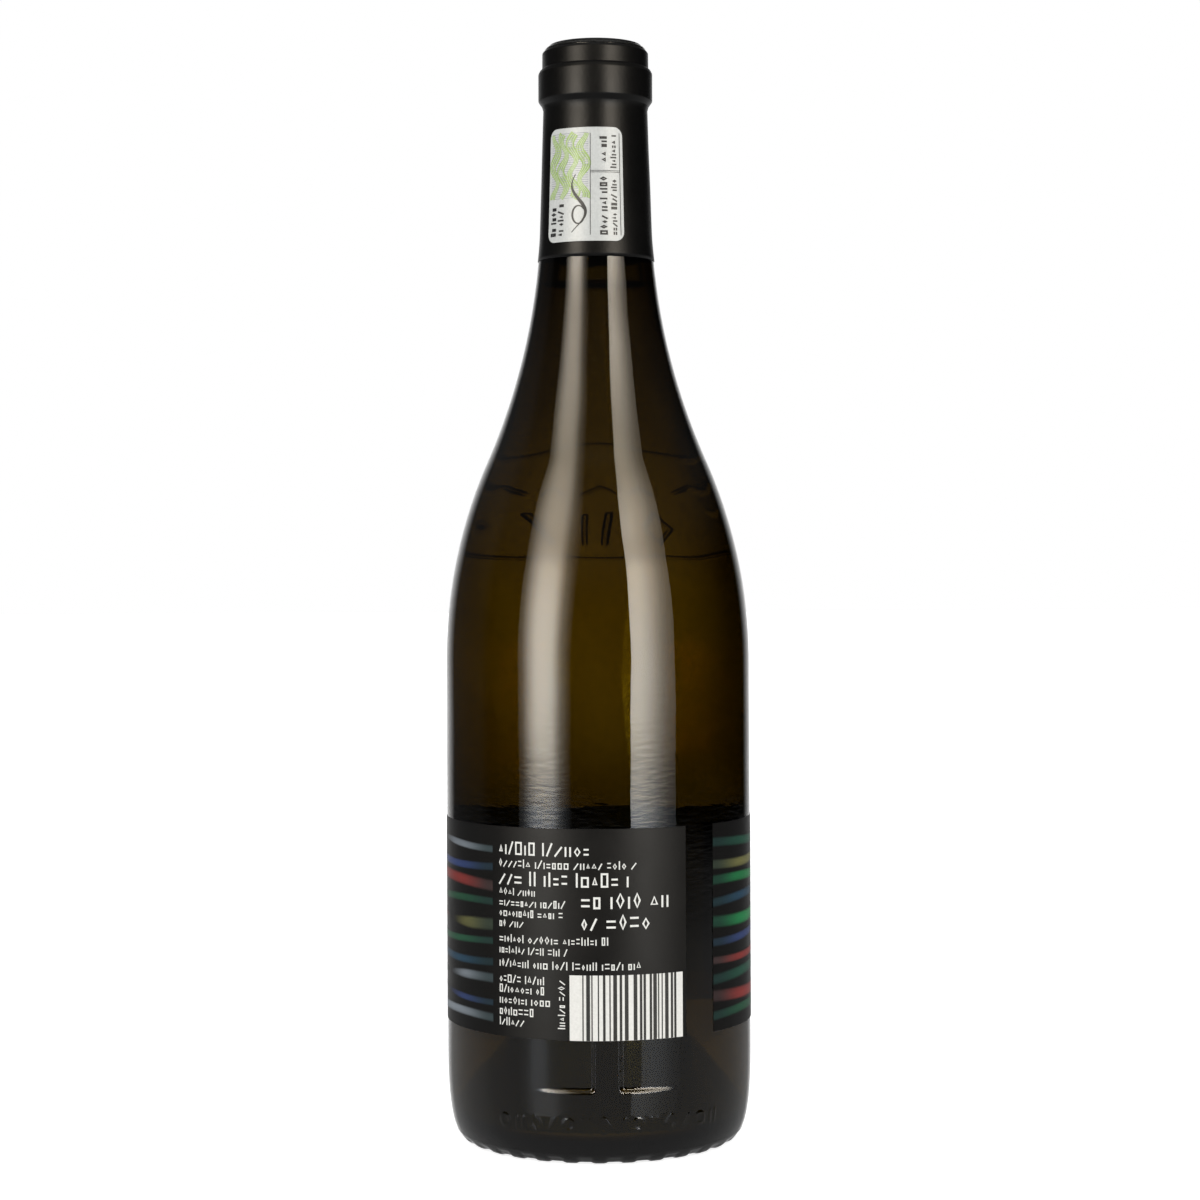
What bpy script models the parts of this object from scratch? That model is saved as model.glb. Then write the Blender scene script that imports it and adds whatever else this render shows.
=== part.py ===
"""A full, shut wine bottle with sloping shoulders, standing on its base.

Metres, +Z up. The origin is the middle of the circle that the bottle stands on.
The rear of the label faces -Y. Angles on the bottle are measured from -Y, positive
towards +X, the way they run from left to right for someone who looks at the rear.
"""

import math

import bmesh
import bpy
from mathutils import Matrix, Vector

# Overall sizes
HEIGHT = 0.2960
BODY_RADIUS = 0.0411
SIDES = 40
GAP = 0.0003
MERGE = 0.0001

# Shoulder and neck: two arcs that meet on one slope, then a slim taper
SHOULDER_START = 0.1288
SHOULDER_ARC = 0.1347
STEEPEST = math.radians(23.74)
NECK_ARC = 0.1746
NECK_TAPER = math.atan(0.034)

# Mouth: a band above a thicker ring, both under the capsule
CAPSULE_WALL = 0.0002
MOUTH_TOP = HEIGHT - GAP - CAPSULE_WALL
BAND_RADIUS = 0.0139
BAND_BOTTOM = 0.2892
RING_RADIUS = 0.01495
RING_TOP = 0.2884
RING_BOTTOM = 0.2804
RING_FOOT = 0.2792
LIP_ROUND = 0.0014
RING_ROUND = 0.0005

# Heel: the wall turns in to the foot on a superellipse
HEEL_REACH = 0.0076
HEEL_RISE = 0.0287
HEEL_POWER = 3.2

# Punt: the hollow in the base, a steep cone with a round nose
PUNT_HEIGHT = 0.0335
PUNT_NOSE = 0.0180
PUNT_SLOPE = math.radians(60.7)
FOOT_ROUND = 0.0030

# Glass thickness
BODY_WALL = 0.0032
NECK_WALL = 0.0048
FLOOR_WALL = 0.0045
BORE_RADIUS = 0.00925
INNER_FLOOR = 0.0066
INNER_HEEL_ROUND = 0.0032

# Wine and capsule
WINE_LEVEL = 0.2313
CAPSULE_BOTTOM = 0.2373

# Wrap-round label, with a strip of bare glass between its two ends
LABEL_BOTTOM = 0.0328
LABEL_TOP = 0.0873
LABEL_WALL = 0.0002
LABEL_START = math.radians(46.5)
LABEL_SWEEP = math.radians(346.7)

# Rounded sticker on the capsule
STICKER_BOTTOM = 0.2413
STICKER_TOP = 0.2718
STICKER_CORNER = 0.0025
STICKER_LEFT = math.radians(-57.0)
STICKER_RIGHT = math.radians(28.6)
STICKER_WALL = 0.0002
STICKER_COLUMNS = 10

# How finely the arcs are cut
ARC_STEPS = 8
NOSE_STEPS = 5
CORNER_STEPS = 4
MOUTH_STEPS = 2
STICKER_ROWS = 4
STICKER_CORNER_STEPS = 3


def spaced(first, last, count):
    """Evenly spaced values from first to last, both included."""
    return [first + (last - first) * i / count for i in range(count + 1)]


def slope_joint():
    """Where the shoulder arc meets the neck arc: radius and height."""
    radius = BODY_RADIUS - SHOULDER_ARC * (1 - math.cos(STEEPEST))
    return radius, SHOULDER_START + SHOULDER_ARC * math.sin(STEEPEST)


def taper_joint():
    """Where the neck arc meets the straight taper: radius and height."""
    radius, height = slope_joint()
    radius -= NECK_ARC * (math.cos(NECK_TAPER) - math.cos(STEEPEST))
    return radius, height + NECK_ARC * (math.sin(STEEPEST) - math.sin(NECK_TAPER))


def outside_radius(z):
    """Radius of the glass at a height between the heel and the ring."""
    joint_radius, joint_height = slope_joint()
    taper_radius, taper_height = taper_joint()
    if z <= SHOULDER_START:
        return BODY_RADIUS
    if z <= joint_height:
        rise = z - SHOULDER_START
        return BODY_RADIUS - SHOULDER_ARC + math.sqrt(SHOULDER_ARC**2 - rise**2)
    if z <= taper_height:
        centre_radius = joint_radius + NECK_ARC * math.cos(STEEPEST)
        centre_height = joint_height + NECK_ARC * math.sin(STEEPEST)
        return centre_radius - math.sqrt(NECK_ARC**2 - (centre_height - z) ** 2)
    return taper_radius - math.tan(NECK_TAPER) * (z - taper_height)


def wall(radius):
    """Glass thickness, which grows from the body to the neck as the radius shrinks."""
    neck_radius = taper_joint()[0]
    share = (BODY_RADIUS - radius) / (BODY_RADIUS - neck_radius)
    return BODY_WALL + (NECK_WALL - BODY_WALL) * share


def rounded(corners, steps=CORNER_STEPS):
    """The line through (radius, height, rounding) corners, with each corner turned into an arc."""
    line = []
    for i, (x, z, rounding) in enumerate(corners):
        here = Vector((x, z))
        if rounding == 0:
            line.append(here)
            continue
        before = (Vector(corners[i - 1][:2]) - here).normalized()
        after = (Vector(corners[i + 1][:2]) - here).normalized()
        half = before.angle(after) / 2
        centre = here + (before + after).normalized() * rounding / math.sin(half)
        start = here + before * rounding / math.tan(half) - centre
        sweep = start.angle_signed(here + after * rounding / math.tan(half) - centre)
        for angle in spaced(0, -sweep, steps):
            spoke = start.copy()
            spoke.rotate(Matrix.Rotation(angle, 2))
            line.append(centre + spoke)
    return line


def shifted(line, distance):
    """The line moved sideways by a distance, to the left of its way for a positive one."""
    moved = []
    for i, point in enumerate(line):
        before = (point - line[max(i - 1, 0)]).normalized()
        after = (line[min(i + 1, len(line) - 1)] - point).normalized()
        way = (before + after).normalized()
        share = max(way.dot(before), way.dot(after))
        moved.append(point + Vector((-way.y, way.x)) * distance / share)
    return moved


def mouth_line():
    """Outside of the glass from the lip down to the top of the taper."""
    foot_radius = outside_radius(RING_FOOT)
    return rounded(
        [
            (BORE_RADIUS, MOUTH_TOP, 0),
            (BAND_RADIUS, MOUTH_TOP, LIP_ROUND),
            (BAND_RADIUS, BAND_BOTTOM, 0),
            (RING_RADIUS, RING_TOP, RING_ROUND),
            (RING_RADIUS, RING_BOTTOM, RING_ROUND),
            (foot_radius, RING_FOOT, 0),
        ],
        steps=MOUTH_STEPS,
    )


def sloping_heights(lowest=0.0):
    """Heights that follow the two arcs, from the taper down to the start of the shoulder."""
    joint_height = slope_joint()[1]
    taper_height = taper_joint()[1]
    neck = spaced(taper_height, joint_height, ARC_STEPS)
    shoulder = spaced(joint_height, SHOULDER_START, ARC_STEPS)
    return [z for z in neck + shoulder[1:] if z > lowest]


def heel_line():
    """Outside of the glass from the straight wall in to the foot."""
    line = []
    for angle in spaced(0, math.pi / 2, ARC_STEPS):
        inward = HEEL_REACH * (1 - math.cos(angle) ** (2 / HEEL_POWER))
        height = HEEL_RISE * (1 - math.sin(angle) ** (2 / HEEL_POWER))
        line.append(Vector((BODY_RADIUS - inward, height)))
    return line


def punt_line(thickness, floor, foot_round):
    """The cone with a round nose, from its foot up to the axis. A thickness moves it up and out."""
    nose = PUNT_NOSE + thickness
    top = PUNT_HEIGHT + thickness
    nose_corner = nose * math.tan(PUNT_SLOPE / 2)
    foot_radius = nose_corner + (top - floor) / math.tan(PUNT_SLOPE)
    run_out = foot_radius + 2 * foot_round
    cone = rounded([(run_out, floor, 0), (foot_radius, floor, foot_round), (nose_corner, top, 0)])
    arc = [
        Vector((nose * math.sin(angle), top - nose * (1 - math.cos(angle))))
        for angle in spaced(PUNT_SLOPE, 0, NOSE_STEPS)
    ]
    return cone[1:-1] + arc


def inside_line():
    """Inside of the glass, from the bore down the wall and up over the punt to the axis."""
    wall_line = [Vector((BORE_RADIUS, MOUTH_TOP))]
    for z in sloping_heights():
        radius = outside_radius(z)
        wall_line.append(Vector((radius - wall(radius), z)))
    inner_radius = BODY_RADIUS - BODY_WALL
    heel = rounded(
        [
            (inner_radius, SHOULDER_START, 0),
            (inner_radius, INNER_FLOOR, INNER_HEEL_ROUND),
            (0, INNER_FLOOR, 0),
        ]
    )
    return wall_line + heel[1:-1] + punt_line(FLOOR_WALL, INNER_FLOOR, INNER_HEEL_ROUND)


def principled(name, colour, roughness, metallic=0.0, transmission=0.0):
    """A material with one Principled shader."""
    material = bpy.data.materials.new(name)
    material.use_nodes = True
    shader = material.node_tree.nodes["Principled BSDF"]
    shader.inputs["Base Color"].default_value = (*colour, 1.0)
    shader.inputs["Roughness"].default_value = roughness
    shader.inputs["Metallic"].default_value = metallic
    shader.inputs["Transmission Weight"].default_value = transmission
    return material


def add_object(name, mesh, material, collection):
    """A named object with its own material, in the bottle's collection."""
    mesh.materials.append(material)
    part = bpy.data.objects.new(name, mesh)
    collection.objects.link(part)
    return part


def turned(name, line, material, collection, sweep=math.tau, sides=SIDES):
    """A line of (radius, height) points turned round the bottle's axis."""
    mesh = bpy.data.meshes.new(name)
    points = [(point.x, 0, point.y) for point in line]
    mesh.from_pydata(points, [(i, i + 1) for i in range(len(points) - 1)], [])
    part = add_object(name, mesh, material, collection)
    screw = part.modifiers.new("turn", "SCREW")
    screw.axis = "Z"
    screw.angle = sweep
    screw.steps = sides
    screw.render_steps = sides
    screw.use_merge_vertices = True
    screw.merge_threshold = MERGE
    screw.use_smooth_shade = True
    return part


def thicken(part, thickness, side):
    """Solidify an open surface: side 1 grows it outwards, -1 inwards."""
    solidify = part.modifiers.new("thickness", "SOLIDIFY")
    solidify.thickness = thickness
    solidify.offset = side
    solidify.use_even_offset = True


def build_bottle(collection):
    """The glass: a hollow bottle with a punt, open at the mouth."""
    glass = principled("bottle_glass", (0.030, 0.022, 0.006), 0.03, transmission=1.0)
    outside = mouth_line()
    outside += [Vector((outside_radius(z), z)) for z in sloping_heights()]
    outside += heel_line()
    outside += punt_line(0, 0, FOOT_ROUND)
    inside = list(reversed(inside_line()))
    turned("bottle", inside[:-1] + outside, glass, collection)


def build_wine(collection):
    """The wine, up to its level in the neck, just clear of the glass."""
    straw = principled("wine_liquid", (0.75, 0.62, 0.22), 0.02, transmission=1.0)
    skin = shifted(inside_line(), -GAP)
    skin[-1].x = 0
    above = [point for point in skin if point.y >= WINE_LEVEL]
    below = [point for point in skin if point.y < WINE_LEVEL]
    share = (WINE_LEVEL - below[0].y) / (above[-1].y - below[0].y)
    edge = below[0].lerp(above[-1], share)
    turned("wine", [Vector((0, WINE_LEVEL)), edge] + below, straw, collection)


def build_capsule(collection):
    """The capsule: a thin closed cap that follows the mouth, the ring and the neck."""
    black = principled("capsule_foil", (0.010, 0.010, 0.010), 0.45)
    glass = mouth_line()[1:]
    glass += [Vector((outside_radius(z), z)) for z in sloping_heights(CAPSULE_BOTTOM)]
    glass.append(Vector((outside_radius(CAPSULE_BOTTOM), CAPSULE_BOTTOM)))
    line = shifted(glass, GAP + CAPSULE_WALL)
    line[-1].y = CAPSULE_BOTTOM
    capsule = turned("capsule", [Vector((0, HEIGHT))] + line, black, collection)
    thicken(capsule, CAPSULE_WALL, -1)


def build_label(collection):
    """The dark paper label that wraps the body, all but a strip of bare glass."""
    paper = principled("label_paper", (0.013, 0.011, 0.010), 0.6)
    radius = BODY_RADIUS + GAP
    line = [Vector((radius, LABEL_TOP)), Vector((radius, LABEL_BOTTOM))]
    label = turned("wrap_label", line, paper, collection, LABEL_SWEEP)
    label.rotation_euler.z = LABEL_START - math.pi / 2
    thicken(label, LABEL_WALL, 1)


def sticker_half_share(z):
    """Half width of the sticker at a height, as a share of its full width, with round corners."""
    middle = (STICKER_TOP + STICKER_BOTTOM) / 2
    straight = (STICKER_TOP - STICKER_BOTTOM) / 2 - STICKER_CORNER
    width = (STICKER_RIGHT - STICKER_LEFT) * outside_radius(middle)
    past = max(abs(z - middle) - straight, 0)
    inset = STICKER_CORNER - math.sqrt(max(STICKER_CORNER**2 - past**2, 0))
    return 0.5 - inset / width


def build_sticker(collection):
    """The white sticker with round corners that wraps part of the capsule."""
    white = principled("sticker_paper", (0.80, 0.82, 0.78), 0.5)
    turn = [1 - math.cos(angle) for angle in spaced(0, math.pi / 2, STICKER_CORNER_STEPS)]
    corner = [STICKER_BOTTOM + STICKER_CORNER * share for share in turn]
    straight = spaced(corner[-1], STICKER_TOP + STICKER_BOTTOM - corner[-1], STICKER_ROWS)
    top_corner = [STICKER_TOP + STICKER_BOTTOM - z for z in reversed(corner)]
    cage = bmesh.new()
    rows = []
    for z in corner + straight[1:-1] + top_corner:
        radius = outside_radius(z) + 2 * GAP + CAPSULE_WALL
        half = sticker_half_share(z)
        row = []
        for share in spaced(0.5 - half, 0.5 + half, STICKER_COLUMNS):
            angle = STICKER_LEFT + (STICKER_RIGHT - STICKER_LEFT) * share
            row.append(cage.verts.new((radius * math.sin(angle), -radius * math.cos(angle), z)))
        rows.append(row)
    for lower, upper in zip(rows, rows[1:]):
        for i in range(STICKER_COLUMNS):
            cage.faces.new((lower[i], lower[i + 1], upper[i + 1], upper[i]))
    mesh = bpy.data.meshes.new("neck_sticker")
    cage.to_mesh(mesh)
    cage.free()
    mesh.shade_smooth()
    sticker = add_object("neck_sticker", mesh, white, collection)
    thicken(sticker, STICKER_WALL, 1)


def main():
    for old in list(bpy.data.objects):
        bpy.data.objects.remove(old)
    collection = bpy.data.collections.new("wine_bottle")
    bpy.context.scene.collection.children.link(collection)
    build_bottle(collection)
    build_wine(collection)
    build_capsule(collection)
    build_label(collection)
    build_sticker(collection)


main()
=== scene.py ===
"""The looks of the wine bottle: glass, wine, capsule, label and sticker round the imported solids."""

from math import acos, atan, atan2, ceil, cos, pi, radians, sin, sqrt, tan, tau

import bpy
import numpy as np
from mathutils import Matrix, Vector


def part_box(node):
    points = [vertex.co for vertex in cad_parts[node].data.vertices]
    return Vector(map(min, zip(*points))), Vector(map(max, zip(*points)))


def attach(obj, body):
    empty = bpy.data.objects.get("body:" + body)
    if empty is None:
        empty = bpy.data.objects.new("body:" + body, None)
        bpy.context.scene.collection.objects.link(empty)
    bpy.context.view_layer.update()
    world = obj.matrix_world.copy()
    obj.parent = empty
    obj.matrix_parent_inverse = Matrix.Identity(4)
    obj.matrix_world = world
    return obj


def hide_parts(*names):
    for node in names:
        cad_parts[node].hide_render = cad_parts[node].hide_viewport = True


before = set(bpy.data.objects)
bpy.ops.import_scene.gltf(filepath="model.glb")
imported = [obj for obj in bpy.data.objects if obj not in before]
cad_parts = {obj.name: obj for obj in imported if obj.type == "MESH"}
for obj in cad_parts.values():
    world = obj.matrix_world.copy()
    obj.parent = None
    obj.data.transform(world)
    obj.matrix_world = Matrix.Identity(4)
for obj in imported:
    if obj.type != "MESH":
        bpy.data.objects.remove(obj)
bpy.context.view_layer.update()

# Sizes read from the solids, in metres
BODY_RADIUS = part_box("bottle")[1].x
MOUTH_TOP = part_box("bottle")[1].z
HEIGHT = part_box("capsule")[1].z
CAPSULE_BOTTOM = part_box("capsule")[0].z
FILL_BELOW_SOLID = 0.0030
WINE_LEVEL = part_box("wine")[1].z - FILL_BELOW_SOLID
LABEL_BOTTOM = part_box("wrap_label")[0].z
LABEL_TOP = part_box("wrap_label")[1].z
STICKER_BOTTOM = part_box("neck_sticker")[0].z
STICKER_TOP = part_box("neck_sticker")[1].z

# Shoulder and neck: two arcs that meet on one slope, then a slim taper
SHOULDER_START = 0.1288
SHOULDER_ARC = 0.1347
STEEPEST = radians(23.74)
NECK_ARC = 0.1746
NECK_TAPER = atan(0.034)

# Mouth under the capsule, and the capsule's own band and ring
BORE_RADIUS = 0.00925
BAND_RADIUS = 0.0139
RING_RADIUS = 0.01495
BAND_BOTTOM = 0.2892
RING_TOP = 0.2884
RING_BOTTOM = 0.2804
RING_FOOT = 0.2792
CAPSULE_OVER_NECK = 0.00015
CAPSULE_OVER_MOUTH = 0.0005
CAPSULE_FOIL = 0.0001
TOP_SUNK = 0.0003
DISC_RADIUS = 0.0094
RIM_INNER, RIM_OUTER, RIM_DROP = 0.0098, 0.0124, 0.0022
FOIL_FOLD = 0.0006

# Heel, foot and punt
HEEL_REACH = 0.0076
HEEL_RISE = 0.0287
HEEL_POWER = 3.2
PUNT_HEIGHT = 0.0335
PUNT_NOSE = 0.0180
PUNT_SLOPE = radians(60.7)
FOOT_ROUND = 0.0030

# Glass thickness and the inside
BODY_WALL = 0.0032
NECK_WALL = 0.0048
FLOOR_WALL = 0.0045
INNER_FLOOR = 0.0066
INNER_HEEL_ROUND = 0.0032
WINE_INTO_WALL = 0.0003
MENISCUS = 0.0026
MENISCUS_REACH = 0.0023
OUTSIDE_RIPPLE = 0.00002
INSIDE_RIPPLE = 0.00008
FOIL_RIPPLE = 0.00003

# Label and sticker, as angles from -Y, positive towards +X
LABEL_START = radians(46.5)
LABEL_END = radians(46.5 + 346.7)
LABEL_PROUD = 0.00013
LABEL_EDGE = 0.00006
PAPER_INTO_GLASS = 0.00005
STICKER_LEFT = radians(-55.5)
STICKER_RIGHT = radians(29.3)
STICKER_CORNER = 0.0025
STICKER_PROUD = 0.0001
STICKER_INTO_FOIL = 0.00003
INK = 0.00002

# Relief on the outside of the glass
FRONT = pi
SHOULDER_RADIUS = 0.0385
MARK_CENTRE = 0.0021
MARK_CHANNEL = 0.0030
MARK_BEVEL = 0.0011
MARK_FOOT = 0.0192
MARK_CORNER = 0.0015
MARK_REACH = 0.0180
MARK_DEPTH = 0.0009
HEEL_ROW, HEEL_ROW_HALF = 0.0110, 0.0021
HEEL_ROW_START, HEEL_ROW_END, HEEL_ROW_PITCH = -0.0265, 0.0345, 0.0046
HEEL_ROW_HEIGHT = 0.00015
HEEL_STROKE = 0.0007
KNURLS = 30
KNURL_DEPTH = 0.00035
KNURL_RADII = (0.0325, 0.0340)
KNURL_HEIGHTS = (0.0012, 0.0026)
SEAM_HEIGHT = 0.00008
SEAM_LEVEL = 0.0030
LINE_HEIGHT = 0.00080
LINE_HALF_WIDTH = 0.00060
RING_LINE, RING_LINE_REACH = 0.1526, 0.0480
PATTERN_REACH = 0.0360
WAVE_LEVEL, WAVE_RISE, WAVE_LENGTH = 0.1775, 0.0048, 0.052
SHAPES_LEVEL, SHAPES_HALF, SHAPES_PITCH = 0.1597, 0.0040, 0.0092
CHEVRONS_LEVEL, CHEVRONS_HALF, CHEVRONS_PITCH = 0.1700, 0.0024, 0.0070

# Mesh: angles and heights between which its columns and rows keep one spacing
FINE = 0.0003
PLAIN_TURN = radians(1.6)
COLUMN_STOPS = (-48, 52, 122, 238, 312)
ROW_STOPS = (RING_FOOT, 0.190, 0.186, 0.150, 0.036, HEEL_RISE)
ROW_SPACINGS = (0.0020, 0.0010, 0.00025, 0.0040, FINE)
WINE_COLUMNS, CAPSULE_COLUMNS = 160, 192

# The photograph's camera: its distance in body radii, its focal length in picture widths
PICTURE = 1200
CAMERA_DISTANCE = 17.5 * BODY_RADIUS
CAMERA_HEIGHT = 0.1589
PIXELS_PER_METRE = 3674.0
HORIZON_ROW = 550
AXIS_COLUMN = 597.3
CAMERA_ROLL = radians(0.25)
SENSOR = 36.0

# Studio lights: how far off, from what height to what height, and how bright up that height
LIGHT_DISTANCE = 1.3
BOX_LOW, BOX_HIGH = -0.45, 2.1
BOX_RADIANCE = 11.0
WIDENING_SPAN = (0.16, 0.64)
LEFT_ACROSS = [
    (-61, 0.05), (-57, 0.11), (-54, 0.28), (-50, 0.60), (-46, 0.90), (-41, 1.0),
    (-36, 0.93), (-33.5, 0.80), (-31, 0.48), (-28, 0.20), (-24, 0.07), (-20, 0.0),
]
LEFT_UP = [
    (-0.45, 0.05), (-0.20, 0.06), (-0.06, 0.25), (0.05, 0.97), (0.40, 1.0), (0.60, 0.90), (0.71, 0.64),
    (0.80, 0.55), (0.95, 0.56), (1.10, 0.53), (1.37, 0.47), (1.70, 0.36), (2.10, 0.28),
]
RIGHT_ACROSS = [
    (59, 0.10), (53, 0.16), (48, 0.27), (44, 0.42), (40, 0.61), (36, 0.77),
    (32, 0.92), (28, 0.95), (24.8, 0.85), (24.3, 0.0),
]
RIGHT_UP = [
    (-0.45, 0.05), (-0.20, 0.06), (-0.06, 0.30), (0.05, 0.97), (0.40, 1.0), (0.62, 1.0), (0.71, 0.74),
    (0.80, 0.68), (0.92, 0.76), (1.10, 0.66), (1.37, 0.48), (1.70, 0.46), (2.10, 0.35),
]
TINT_UP = [
    (-0.45, (0.90, 0.94, 1.0)), (-0.06, (0.82, 0.89, 1.0)), (0.0, (1.0, 0.96, 0.87)),
    (0.30, (1.0, 0.93, 0.82)), (0.62, (1.0, 0.89, 0.74)), (2.10, (1.0, 0.90, 0.71)),
]
FILL_RADIANCE = 1.0

# Floor, and the card that stands behind
FLOOR_REACH, FLOOR_GLOW = 6.0, 0.85
CARD_DISTANCE, CARD_TOP, CARD_REACH = 0.15, 0.60, 0.22
CARD_GLOW = 1.08

# How bright the surroundings are on paper, through the glass and in what shines off the object
WORLD_ON_PAPER = 0.6
WORLD_THROUGH_GLASS, TABLE_THROUGH_GLASS = 0.22, 0.62
WALL_SHINE, TABLE_SHINE, CEILING_SHINE, OVERHEAD_SHINE, FLANK_SHINE = 0.93, 0.35, 0.06, 0.35, 0.045


def smooth(value, low=0.0, high=1.0):
    """A soft step from 0 at low to 1 at high."""
    share = np.clip((value - low) / (high - low), 0.0, 1.0)
    return share * share * (3 - 2 * share)


def spaced(first, last, spacing):
    """Even values from first to last, no further apart than the spacing."""
    return np.linspace(first, last, max(int(ceil(abs(last - first) / spacing)), 1) + 1)


# The bottle's profile. The shoulder arc meets the neck arc at one joint, and that the taper at another
JOINT_RADIUS = BODY_RADIUS - SHOULDER_ARC * (1 - cos(STEEPEST))
JOINT_HEIGHT = SHOULDER_START + SHOULDER_ARC * sin(STEEPEST)
TAPER_RADIUS = JOINT_RADIUS - NECK_ARC * (cos(NECK_TAPER) - cos(STEEPEST))
TAPER_HEIGHT = JOINT_HEIGHT + NECK_ARC * (sin(STEEPEST) - sin(NECK_TAPER))


def outside_radius(z):
    """Radius of the glass between the heel and the ring."""
    z = np.asarray(z, float)
    rise = np.clip(z - SHOULDER_START, 0, SHOULDER_ARC)
    shoulder = BODY_RADIUS - SHOULDER_ARC + np.sqrt(SHOULDER_ARC**2 - rise**2)
    fall = np.clip(JOINT_HEIGHT + NECK_ARC * sin(STEEPEST) - z, -NECK_ARC, NECK_ARC)
    neck = JOINT_RADIUS + NECK_ARC * cos(STEEPEST) - np.sqrt(NECK_ARC**2 - fall**2)
    taper = TAPER_RADIUS - tan(NECK_TAPER) * (z - TAPER_HEIGHT)
    return np.where(z <= JOINT_HEIGHT, shoulder, np.where(z <= TAPER_HEIGHT, neck, taper))


def inside_radius(z):
    """Radius of the bore at a height. The wall grows as the bottle narrows."""
    radius = outside_radius(z)
    share = (BODY_RADIUS - radius) / (BODY_RADIUS - TAPER_RADIUS)
    return radius - BODY_WALL - (NECK_WALL - BODY_WALL) * share


def capsule_radius(z):
    """Outside of the capsule's skirt, which flares a little at its bottom edge."""
    flare = 0.0001 * smooth(z, CAPSULE_BOTTOM + 0.006, CAPSULE_BOTTOM)
    return outside_radius(z) + CAPSULE_OVER_NECK + flare


def arc(centre, radius, first, last, steps):
    """Points of an arc, angles from +radius towards +height."""
    angles = np.linspace(first, last, steps + 1)
    return np.column_stack([centre[0] + radius * np.cos(angles), centre[1] + radius * np.sin(angles)])


def rounded(corners, steps=6):
    """The line through (radius, height, rounding) corners, with each corner turned into an arc."""
    line = []
    for i, (x, z, rounding) in enumerate(corners):
        here = np.array([x, z])
        if rounding == 0:
            line.append(here)
            continue
        before = np.array(corners[i - 1][:2]) - here
        after = np.array(corners[i + 1][:2]) - here
        before /= np.hypot(*before)
        after /= np.hypot(*after)
        half = acos(np.clip(before @ after, -1, 1)) / 2
        middle = before + after
        centre = here + middle / np.hypot(*middle) * rounding / sin(half)
        start = here + before * rounding / tan(half) - centre
        end = here + after * rounding / tan(half) - centre
        first = atan2(start[1], start[0])
        sweep = (atan2(end[1], end[0]) - first + pi) % tau - pi
        line.extend(arc(centre, rounding, first, first + sweep, steps))
    return np.array(line)


def resampled(line, spacing):
    """The same line with points an even distance apart along it."""
    steps = np.hypot(*np.diff(line, axis=0).T)
    along = np.concatenate([[0], np.cumsum(steps)])
    places = spaced(0, along[-1], spacing)
    return np.column_stack([np.interp(places, along, line[:, i]) for i in range(2)])


def normals(line):
    """Unit vectors to the left of a line's way, one for each of its points."""
    way = np.gradient(line, axis=0)
    way /= np.hypot(way[:, 0], way[:, 1])[:, None]
    return np.column_stack([-way[:, 1], way[:, 0]])


def shifted(line, distance):
    """The line moved sideways by a distance, to the left of its way."""
    return line + distance * normals(line)


def joined(*lines):
    """Lines end to end, without the points that two of them share."""
    line = np.concatenate(lines)
    apart = np.hypot(*np.diff(line, axis=0).T) > 1e-6
    return line[np.concatenate([[True], apart])]


def outside_line():
    """Outside of the glass from the bore's lip down to the middle of the punt."""
    mouth = [
        (BORE_RADIUS, MOUTH_TOP, 0),
        (BAND_RADIUS, MOUTH_TOP, 0.0014),
        (BAND_RADIUS, BAND_BOTTOM, 0),
        (RING_RADIUS, RING_TOP, 0.0005),
        (RING_RADIUS, RING_BOTTOM, 0.0005),
        (float(outside_radius(RING_FOOT)), RING_FOOT, 0),
    ]
    heights = np.concatenate([spaced(*run) for run in zip(ROW_STOPS, ROW_STOPS[1:], ROW_SPACINGS)])
    wall = np.column_stack([outside_radius(heights), heights])
    turn = np.linspace(0, pi / 2, 2000)
    inwards = HEEL_REACH * (1 - np.cos(turn) ** (2 / HEEL_POWER))
    heel = np.column_stack([BODY_RADIUS - inwards, HEEL_RISE * (1 - np.sin(turn) ** (2 / HEEL_POWER))])
    foot = punt_line(0, 0, FOOT_ROUND, 0.0008)
    return joined(rounded(mouth, steps=3), wall, resampled(heel, FINE), foot)


def punt_line(thickness, floor, foot_round, spacing):
    """The cone with a round nose, from the foot up to the axis. A thickness moves it up and out."""
    nose = PUNT_NOSE + thickness
    top = PUNT_HEIGHT + thickness
    nose_corner = nose * tan(PUNT_SLOPE / 2)
    foot_radius = nose_corner + (top - floor) / tan(PUNT_SLOPE)
    run_out = foot_radius + 2 * foot_round
    cone = rounded([(run_out, floor, 0), (foot_radius, floor, foot_round), (nose_corner, top, 0)])[1:-1]
    tip = arc((0, top - nose), nose, pi / 2 - PUNT_SLOPE, pi / 2, 24)
    return resampled(joined(cone, tip), spacing)


def inside_line():
    """Inside of the glass, from the lip down the wall and up over the punt to the axis."""
    shoulder = spaced(TAPER_HEIGHT, SHOULDER_START, 0.0025)
    heights = np.concatenate([shoulder, spaced(SHOULDER_START, 0.020, 0.006)])
    ends = [[BORE_RADIUS, MOUTH_TOP], [float(inside_radius(TAPER_HEIGHT)), TAPER_HEIGHT]]
    bore = resampled(np.array(ends), 0.004)
    wall = np.column_stack([inside_radius(heights), heights])
    inner = BODY_RADIUS - BODY_WALL
    heel = rounded([(inner, 0.020, 0), (inner, INNER_FLOOR, INNER_HEEL_ROUND), (0, INNER_FLOOR, 0)])[:-1]
    over = punt_line(FLOOR_WALL, INNER_FLOOR, INNER_HEEL_ROUND, 0.0012)
    return joined(bore, wall, heel, over)


# Relief and unevenness of the glass

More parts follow.
